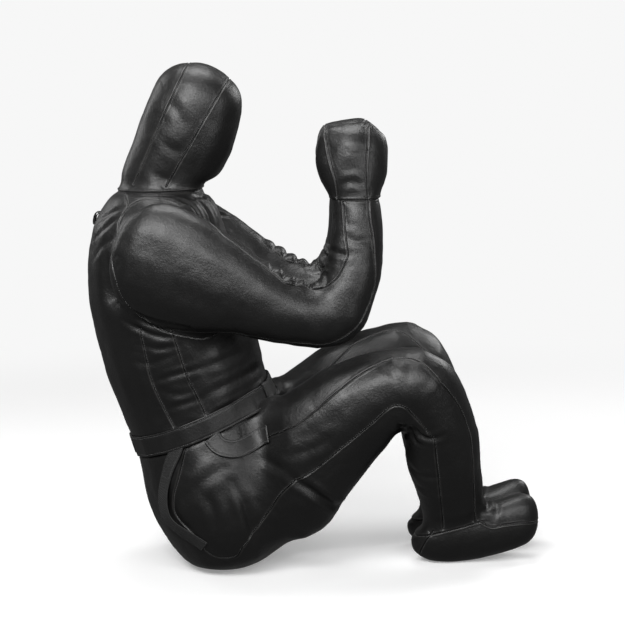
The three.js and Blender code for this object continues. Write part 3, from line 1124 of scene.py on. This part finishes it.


# ---- How the skin is parted, and where its pieces would bend ------------------------------

NECK, WAIST = joint("neck_nod"), joint("waist_bend")
ELBOW, WRIST = joint("elbow_bend_right"), joint("wrist_bend_right")
HIP, KNEE, ANKLE = joint("hip_bend_right"), joint("knee_bend_right"), joint("ankle_bend_right")

# The slanted plane that parts arm and trunk, picked with a search over the skin's points.
ARMPIT = np.array((0.0, -0.102, 0.56))
OUT_OF_ARMPIT = np.array((0.33, -0.908, 0.259))  # outwards, a little forwards and up

UP_THE_WAIST = direction(JOINT_WAYS["waist_bend"])
ROUND_ELBOW = direction(JOINT_WAYS["elbow_bend_right"])
ROUND_KNEE = direction(JOINT_WAYS["knee_bend_right"])
ROUND_ANKLE = direction(JOINT_WAYS["ankle_bend_right"])

# The two bodies on either side of each piece's joint, where its bend would start, the bend's
# way and length. bend() reads them but blends nothing.
BENDS = {
    "torso": ("pelvis", "torso", WAIST, UP_THE_WAIST, 95 * MM),
    "head": ("torso", "head", NECK + (0, 0, 3 * MM), direction(90), 50 * MM),
    "upper_arm": ("torso", "upper_arm", ARMPIT, OUT_OF_ARMPIT, 42 * MM),
    "forearm": ("upper_arm", "forearm", ELBOW - 28 * MM * ROUND_ELBOW, ROUND_ELBOW, 73 * MM),
    "fist": ("forearm", "fist", WRIST - (0, 0, 32 * MM), direction(90), 55 * MM),
    "thigh": ("pelvis", "thigh", HIP + (40 * MM, 0, 0), direction(0), 77 * MM),
    "shin": ("thigh", "shin", KNEE - 40 * MM * ROUND_KNEE, ROUND_KNEE, 85 * MM),
    "foot": ("shin", "foot", ANKLE - 30 * MM * ROUND_ANKLE, ROUND_ANKLE, 50 * MM),
}
# Where each piece begins and the one before it ends: a place, and the way across the cut.
CUTS = {
    "torso": (WAIST - 15 * MM * UP_THE_WAIST, UP_THE_WAIST),
    "head": (NECK + (0, 0, 1 * MM), direction(90)),
    "upper_arm": (ARMPIT - 2 * MM * OUT_OF_ARMPIT, OUT_OF_ARMPIT),
    "forearm": (ELBOW - (73 * MM, 0, 0), direction(22)),
    "fist": (WRIST - (0, 0, 92 * MM), direction(90)),
    "thigh": (HIP + (35 * MM, 0, 0), direction(0)),
    "shin": (KNEE - (90 * MM, 0, 63 * MM), direction(-13.5)),
    "foot": (ANKLE + (0, 0, 104 * MM), direction(-60)),
}
MIDDLE = ("pelvis", "torso", "head")
ARM_PIECES = ("upper_arm", "forearm", "fist")
LEG_PIECES = ("thigh", "shin", "foot")
ZONES = MIDDLE + ARM_PIECES + LEG_PIECES
KNEE_TOP = 425 * MM  # at KNEE_TOP_X the elbow stays above this height and the knee below it
KNEE_TOP_X = 0.2
KNEE_SLOPE = 0.15
HEAD_FRONT = 0.1  # the head lies behind this x, and the fists in front of it


def past(points, zone):
    """Which points, given on the right side, lie past a zone's cut."""
    place, way = CUTS[zone]
    return (points - place) @ way > 0


def zones_of(points):
    """For each point, the index in ZONES of the piece that it belongs to."""
    p = points.copy()
    p[:, 1] = -np.abs(p[:, 1])
    upper = p[:, 2] > KNEE_TOP + KNEE_SLOPE * (p[:, 0] - KNEE_TOP_X)
    zone = np.where(past(p, "torso"), ZONES.index("torso"), ZONES.index("pelvis"))
    zone[past(p, "head") & (p[:, 0] < HEAD_FRONT)] = ZONES.index("head")
    for limb, names in ((upper & (zone != ZONES.index("head")), ARM_PIECES), (~upper, LEG_PIECES)):
        for name in names:
            limb = limb & past(p, name)
            zone[limb] = ZONES.index(name)
    return zone


def zone_sides():
    """The number, zone and side of every piece of the skin."""
    for number, zone in enumerate(ZONES):
        for side in ("right",) if zone in MIDDLE else ("right", "left"):
            yield number, zone, side


def belonging(zones, is_left, number, side):
    """Which points or faces lie in the numbered zone and, on a limb, on the given side."""
    chosen = zones == number
    if ZONES[number] not in MIDDLE:
        chosen &= is_left == (side == "left")
    return chosen


def bend(obj, zone, side):
    """Rides the pelvis; a piece of any other zone is only fixed in place and doesn't bend."""
    if zone == "pelvis":
        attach(obj, "pelvis")
        return
    first, second, start, way, length = BENDS[zone]
    end = start + length * way
    if side == "left":
        start, end = start * MIRROR, end * MIRROR
    tuple(start)
    tuple(end)
    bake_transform(obj)


# ---- The skin ---------------------------------------------------------------------------

FINE_REACHES = (8 * MM, 3.2 * MM)  # the net is cut in four this close to a seam, each time


def finer_near(mesh, seams, reach):
    """The mesh with its faces cut in four beside the seams."""
    samples = np.vstack([s.points for s in seams])
    _, distance = nearest(tree_of(samples), coordinates(mesh))
    close = distance < reach
    net = bmesh.new()
    net.from_mesh(mesh)
    edges = [e for e in net.edges if close[e.verts[0].index] and close[e.verts[1].index]]
    bmesh.ops.subdivide_edges(net, edges=edges, cuts=1, use_grid_fill=True)
    net.to_mesh(mesh)
    net.free()
    return mesh


def cinched(points, belt):
    """The points under the belt drawn in behind it, and 1 under it, falling to 0 beside it."""
    index, distance = nearest(tree_of(belt.line), points)
    share = np.clip((belt.width / 2 + 5 * MM - distance) / (6 * MM), 0, 1)
    share = eased(share)
    out = belt.line - belt.centre
    out /= np.linalg.norm(out, axis=1)[:, None]
    above = np.einsum("ij,ij->i", points - belt.line[index], out[index]) + BELT_PRESS
    return points - (share * np.clip(above, 0, None))[:, None] * out[index], share


def sewn_skin(mesh, tree, seams, belt):
    """The bare skin with its relief, and at each point the share of the lighter lip colour: partly worn
    leather, partly a painted highlight on the seams' lips.
    """
    mesh = applied(mesh, "SUBSURF", levels=1, render_levels=1)
    for reach in FINE_REACHES:
        mesh = finer_near(mesh, seams, reach)
    points, normals = coordinates(mesh), normals_of(mesh)
    height, to_seam = seam_relief(points, seams)
    height += fold_relief(points, tree) + elbow_blocks(points, tree) + lumps(points)
    _, under = cinched(points, belt)
    points = points + (height * (1 - under))[:, None] * normals
    points, _ = cinched(points, belt)
    points[:, 2] = np.maximum(points[:, 2], 0)
    set_coordinates(mesh, points)
    mesh = applied(mesh, "SMOOTH", factor=0.3, iterations=1)
    patchy = np.clip(0.5 + noise(points, 25 * MM, 21), 0, 1)
    # Lighter patches along the seams' lips: partly wear, partly a painted highlight on the ridge.
    rubbed = 0.9 * patchy * bell(to_seam - LIP_PLACE * 0.8, 1.3 * MM)
    return mesh, rubbed


def face_groups(mesh):
    """The corner indices of the mesh's faces, in groups of equal size."""
    count = len(mesh.polygons)
    starts, sizes = np.empty(count, int), np.empty(count, int)
    mesh.polygons.foreach_get("loop_start", starts)
    mesh.polygons.foreach_get("loop_total", sizes)
    corners = np.empty(len(mesh.loops), int)
    mesh.loops.foreach_get("vertex_index", corners)
    for size in np.unique(sizes):
        yield corners[starts[sizes == size][:, None] + np.arange(size)]


def parted(mesh, rubbed):
    """The skin's pieces: zone, side and mesh, with the whole skin's normals kept."""
    points, normals = coordinates(mesh), normals_of(mesh)
    groups = [(corners, points[corners].mean(axis=1)) for corners in face_groups(mesh)]
    zones = [(corners, zones_of(middles), middles[:, 1] > 0) for corners, middles in groups]
    for number, zone, side in zone_sides():
        faces = [corners[belonging(z, is_left, number, side)] for corners, z, is_left in zones]
        used = np.unique(np.concatenate([f.ravel() for f in faces]))
        renumber = np.zeros(len(points), int)
        renumber[used] = np.arange(len(used))
        data = bpy.data.meshes.new(f"{zone}_{side}")
        listed = [row for f in faces for row in renumber[f].tolist()]
        data.from_pydata(points[used], [], listed)
        data.polygons.foreach_set("use_smooth", [True] * len(listed))
        # The share of the lips' lighter colour, wear and painted highlight, goes to the material.
        layer = data.attributes.new("rubbed", "FLOAT", "POINT")
        layer.data.foreach_set("value", rubbed[used].astype(np.float32))
        data.normals_split_custom_set_from_vertices(normals[used])
        yield zone, side, data


def named(zone, word, side):
    """The name of a zone's cover, stuffing, skin or stitching. Limbs have a side."""
    return f"{zone}_{word}" if zone in MIDDLE else f"{zone}_{word}_{side}"


def make_skin(mesh, rubbed, material):
    """The pieces of the skin, each in place of its CAD cover and stuffing."""
    for zone, side, data in parted(mesh, rubbed):
        made = piece(named(zone, "skin", side), data, material)
        bend(made, zone, side)
        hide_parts(named(zone, "cover", side), named(zone, "stuffing", side))


STITCH_PITCH = 4.4 * MM
STITCH_OFFSET = 1.5 * MM


def seam_stitches(seams, tree):
    """Places, directions and normals of the stitches beside every seam."""
    made = []
    for seam in seams:
        every = max(2, round(STITCH_PITCH / STEP))
        for i in range(1, len(seam.points) - 1, every):
            way = seam.points[i + 1] - seam.points[i - 1]
            if np.linalg.norm(way) < 1e-6:
                continue
            _, normal = on_skin(tree, seam.points[i : i + 1])
            side = np.cross(normal[0], way)
            side /= np.linalg.norm(side)
            place, normal = on_skin(tree, [seam.points[i] + STITCH_OFFSET * side])
            made.append((place[0] + 0.1 * MM * normal[0], way, normal[0]))
    return made


def make_stitching(seams, tree, material):
    """The seams' stitches, one mesh for each piece of the skin."""
    stitches = seam_stitches(seams, tree)
    places = np.array([s[0] for s in stitches])
    zones = zones_of(places)
    for number, zone, side in zone_sides():
        chosen = belonging(zones, places[:, 1] > 0, number, side)
        rows = [stitches[i] for i in np.nonzero(chosen)[0]]
        if rows:
            name = named(zone, "stitching", side)
            made = piece(name, stitch_mesh(name, rows), material)
            bend(made, zone, side)


# ---- Belt, handles and loops --------------------------------------------------------------

BELT_WIDTH = 40 * MM
BELT_THICK = 3.2 * MM
BELT_SAMPLE = 0.8  # where the belt's path is taken, as a share of its half width
BELT_SLACK = 12 * MM  # how far the belt may stand outside its CAD path
BELT_PRESS = 1.5 * MM  # how far the skin is pressed in under the belt
WEBBING_WIDTH = 26 * MM
HANDLE_WIDTH = 34 * MM
BELT_MIDDLE = WAIST - BELT_WIDTH / 2 * UP_THE_WAIST

# Where the handles run on the right side, seen from that side: x and z in millimetres.
HIP_HANDLE = [(-30, 279), (-14, 262), (12, 255), (42, 262), (76, 279)]
SEAT_HANDLE = [(-92, 266), (-98, 250), (-113, 215), (-122, 170), (-112, 125), (-84, 96), (-48, 70)]


def beside(tree, route):
    """The points of the right side's skin beside a route given in the side view."""
    flat = spline(np.array([(x, 0, z) for x, z in route]) * MM, 2 * MM)
    inside = Vector((0, -40 * MM, 0))
    hits = [tree.ray_cast(Vector(p) + inside, Vector((0, -1, 0)))[0] for p in flat]
    return evenly(np.array(hits), 2.5 * MM)[0]


def sides_along(tree, line):
    """Unit vectors across a line, flat on the skin."""
    _, normals = on_skin(tree, line)
    ways = np.gradient(line, axis=0)
    sides = np.cross(normals, ways)
    return sides / np.linalg.norm(sides, axis=1)[:, None]


def taut(points, centre):
    """A ring of points round the centre, drawn out as a tight belt bridges the hollows."""
    radii = np.linalg.norm(points - centre, axis=1)
    ways = (points - centre) / radii[:, None]
    turn = 2 * math.pi / len(radii)
    for _ in range(3):
        for k in range(1, len(radii) // 4):
            before, after = np.roll(radii, k), np.roll(radii, -k)
            chord = 2 * before * after * math.cos(k * turn) / (before + after)
            radii = np.maximum(radii, chord)
    return centre + ways * radii[:, None]


class Belt(Strap):
    """A closed strap drawn tight round the waist, on the CAD belt's path or just outside it."""

    def __init__(self, name, tree, centre, up, width, thickness, **traits):
        path = surface_tree(frame["nodes"][name].data)
        self.centre = centre
        self.half = BELT_SAMPLE * width / 2
        self.rings = []
        for offset in (-self.half, self.half):
            hub = centre + offset * up
            inner = ring(path, hub, up)[:-1]
            skin = ring(tree, hub, up)[:-1]
            reach = np.linalg.norm(inner - hub, axis=1)
            wanted = np.clip(np.linalg.norm(skin - hub, axis=1), reach, reach + BELT_SLACK)
            self.rings.append(taut(hub + (inner - hub) * (wanted / reach)[:, None], hub))
        line = (self.rings[0] + self.rings[1]) / 2
        sides = np.tile(up, (len(line), 1))
        super().__init__(name, tree, line, sides, width, thickness, closed=True, **traits)

    def place(self, index, across, height):
        slope = (self.rings[1][index] - self.rings[0][index]) / (2 * self.half)
        normal = self.line[index] - self.centre
        normal -= (normal @ slope) / (slope @ slope) * slope
        normal /= np.linalg.norm(normal)
        flat = self.line[index] + np.outer(across, slope)
        return flat + np.outer(self.gap + height, normal), np.tile(normal, (len(across), 1))


def waist_belt(tree):
    return Belt("waist_belt", tree, BELT_MIDDLE, UP_THE_WAIST, BELT_WIDTH, BELT_THICK,
                gap=0.5 * MM, inset=STRAP_INSET)


def skin_and_belt(skin, belt_mesh):
    """A tree of the bare skin with the belt on it, for what lies over the belt."""
    points = np.vstack([coordinates(skin), coordinates(belt_mesh)])
    count = len(skin.vertices)
    faces = [p.vertices[:] for p in skin.polygons]
    faces += [tuple(v + count for v in p.vertices) for p in belt_mesh.polygons]
    return BVHTree.FromPolygons(points.tolist(), faces)


def hip_handle(tree):
    line = beside(tree, HIP_HANDLE)

    def lift(share, across):
        return 7 * MM * math.sin(math.pi * share) ** 2 * (0.45 - across)

    return Strap("hip_handle_right", tree, line, sides_along(tree, line), HANDLE_WIDTH,
                 3 * MM, gap=0.4 * MM, inset=STRAP_INSET, lift=lift)


def seat_handle(tree):
    line = beside(tree, SEAT_HANDLE)

    def lift(share, across):
        return 9 * MM * math.sin(math.pi * np.clip((share - 0.3) / 0.65, 0, 1)) ** 2 + 0 * across

    return Strap("seat_handle_right", tree, line, sides_along(tree, line), WEBBING_WIDTH,
                 2.4 * MM, gap=0.4 * MM, lift=lift)


def belt_loop(tree, name, place):
    """A band of webbing over the belt, its ends turned in above and below it."""
    out = place - BELT_MIDDLE
    out -= (out @ UP_THE_WAIST) * UP_THE_WAIST
    out /= np.linalg.norm(out)
    level = place + ((BELT_MIDDLE - place) @ UP_THE_WAIST) * UP_THE_WAIST
    reach = np.linspace(-25 * MM, 25 * MM, 31)
    line, _ = on_skin(tree, level + 12 * MM * out + np.outer(reach, UP_THE_WAIST))
    sides = np.tile(np.cross(UP_THE_WAIST, out), (len(line), 1))
    return Strap(name, tree, line, sides, WEBBING_WIDTH, 2 * MM, gap=0.3 * MM)


class Tab(Strap):
    """A folded band that stands off the skin, with a free line and no skin under it."""

    def place(self, index, across, height):
        way = self.line[min(index + 1, len(self.line) - 1)] - self.line[max(index - 1, 0)]
        normal = np.cross(way, self.sides[index])
        normal /= np.linalg.norm(normal)
        flat = self.line[index] + np.outer(across, self.sides[index])
        return flat + np.outer(height - self.thickness / 2, normal), np.tile(normal, (len(across), 1))


def back_tab():
    """The small loop of webbing sewn in below the neck."""
    low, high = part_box("back_tab")
    deep, tall = high.x - low.x, high.z - low.z
    outline = [
        (0.8, 0.97), (0.42, 0.95), (0.14, 0.7), (-0.02, 0.3), (0.03, 0.04),
        (0.14, 0.12), (0.2, 0.4), (0.36, 0.7), (0.7, 0.85),
    ]
    route = np.array([(low.x + deep * u, 0, low.z + tall * v) for u, v in outline])
    line = evenly(spline(route), 1.5 * MM)[0]
    sides = np.tile((0.0, 1.0, 0.0), (len(line), 1))
    return Tab("back_tab", None, line, sides, high.y - low.y, 1.8 * MM)


def make_strap(strap, body, materials, rows=(), bars=(), twin=False):
    """Shows a strap sewn down along rows and bars, and its mirror image if it has a twin.

    A row is (offset across, first share, last share), and a bar the share where it lies."""
    band, sewing = materials
    stitches = [s for across, *ends in rows for s in strap.stitches(across, *ends)]
    stitches += [s for share in bars for s in strap.bar(share)]
    made = [(strap.name, strap.mesh(), stitches)]
    if twin:
        other = strap.name.replace("right", "left")
        made.append((other, mirrored_mesh(made[0][1]), mirrored_stitches(stitches)))
    for node, mesh, sewn in made:
        shown = piece(f"{node}_band", mesh, band)
        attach(shown, body)
        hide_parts(node)
        if sewn:
            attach(piece(f"{node}_stitches", stitch_mesh(node, sewn), sewing), body)


def mirrored_mesh(mesh):
    copy = mesh.copy()
    set_coordinates(copy, coordinates(copy) * MIRROR)
    copy.flip_normals()
    return copy


def mirrored_stitches(stitches):
    return [tuple(v * MIRROR for v in stitch) for stitch in stitches]


# ---- The scene --------------------------------------------------------------------------

make_camera()
make_studio()

bare = bare_skin()
bare_tree = surface_tree(bare)
seams = sewn_lines(bare_tree)

belt = waist_belt(bare_tree)
hips = hip_handle(bare_tree)
seat = seat_handle(bare_tree)
set_coordinates(bare, cinched(coordinates(bare), belt)[0])
over_belt = skin_and_belt(bare, belt.mesh())
rear_loop = belt_loop(over_belt, "belt_loop_rear", middle("belt_loop_rear"))
front_loop = belt_loop(over_belt, "belt_loop_front_right", middle("belt_loop_front_right"))

skin, rubbed = sewn_skin(bare, bare_tree, seams, belt)
hide = leather("black_leather", shade=0.006, gloss=0.40)
make_skin(skin, rubbed, hide)

skin_tree = surface_tree(skin)
thread_black = thread("black_thread", shade=0.09)
make_stitching(seams, skin_tree, thread_black)

belting = leather("belt_leather", shade=0.007, gloss=0.45, grain=0.9 * MM), thread_black
nylon = webbing("nylon_webbing", shade=0.010), thread_black
belt_edge, handle_edge, webbing_edge = (
    width / 2 - STRAP_INSET for width in (BELT_WIDTH, HANDLE_WIDTH, WEBBING_WIDTH)
)
make_strap(belt, "pelvis", belting, [(belt_edge,), (-belt_edge,)])
make_strap(hips, "pelvis", belting, [(handle_edge,), (-handle_edge,)],
           bars=(0.03, 0.8, 0.97), twin=True)
make_strap(seat, "pelvis", nylon,
           [(webbing_edge, 0.0, 0.3), (-webbing_edge, 0.0, 0.3),
            (webbing_edge, 0.72, 1.0), (-webbing_edge, 0.72, 1.0)],
           bars=(0.3, 0.72, 0.98), twin=True)
make_strap(rear_loop, "pelvis", nylon, bars=(0.06, 0.94))
make_strap(front_loop, "pelvis", nylon, bars=(0.06, 0.94), twin=True)
make_strap(back_tab(), "torso", nylon, bars=(0.12,))
